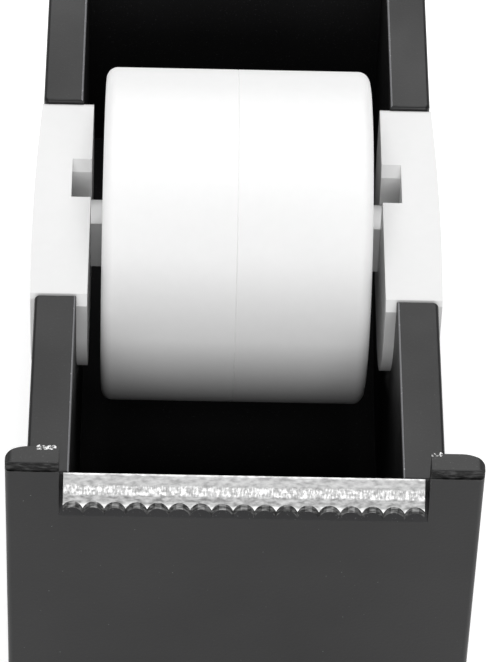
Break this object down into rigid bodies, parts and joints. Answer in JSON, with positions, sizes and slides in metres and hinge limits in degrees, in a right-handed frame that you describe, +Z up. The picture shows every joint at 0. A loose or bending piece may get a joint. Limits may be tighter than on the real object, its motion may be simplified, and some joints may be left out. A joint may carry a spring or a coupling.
{
  "type": "tape dispenser",
  "caption": "Heavy desk dispenser for wide tape: black trough body, white core hub on a lift-out spindle between white bearing blocks, and a scalloped steel cutting blade between two ears.",
  "frame": {"origin": "on the table, under the middle of the object's overall box", "axes": "+X to the user's right, +Y away from the cutting blade, +Z up"},
  "size_m": [0.0988, 0.1824, 0.1092],
  "materials": {
    "black_body": "semi-gloss black moulding with a faint grain",
    "black_plate": "satin black plate with rough sawn ear edges",
    "black_cover": "matt black moulding",
    "blade_steel": "bright steel with scuffs and ground scallops",
    "screw_steel": "zinc-plated steel",
    "ring_steel": "spring steel",
    "white_block": "smooth white moulding",
    "white_hub": "glossy white moulding",
    "spindle_plastic": "off-white moulding",
    "bushing_plastic": "natural acetal",
    "felt": "grey felt",
    "ballast_iron": "as cast",
    "foot_rubber": "matt black rubber"
  },
  "bodies": {
    "frame": {"body_shell": "black_body", "front_plate": "black_plate", "front_plate_screws": "screw_steel", "cutting_blade": "blade_steel", "blade_screws": "screw_steel", "left_bearing_block": "white_block", "right_bearing_block": "white_block", "bearing_block_screws": "screw_steel", "base_cover": "black_cover", "base_cover_screws": "screw_steel", "front_ballast": "ballast_iron", "rear_ballast": "ballast_iron", "front_left_foot": "foot_rubber", "front_right_foot": "foot_rubber", "rear_left_foot": "foot_rubber", "rear_right_foot": "foot_rubber"},
    "spindle": {"spindle": "spindle_plastic", "left_retaining_ring": "ring_steel", "right_retaining_ring": "ring_steel", "drag_washer": "felt", "spring_washer": "ring_steel"},
    "hub": {"left_hub_half": "white_hub", "right_hub_half": "white_hub", "left_hub_bushing": "bushing_plastic", "right_hub_bushing": "bushing_plastic", "hub_screws": "screw_steel"}
  },
  "joints": [
    {"name": "spindle_lift", "type": "slide", "parent": "frame", "child": "spindle", "axis": [0, 0, 1], "range_m": [0, 0.08]},
    {"name": "hub_spin", "type": "hinge", "parent": "spindle", "child": "hub", "pos_m": [-0.0017, 0.00321, 0.072], "axis": [1, 0, 0], "continuous": true}
  ]
}
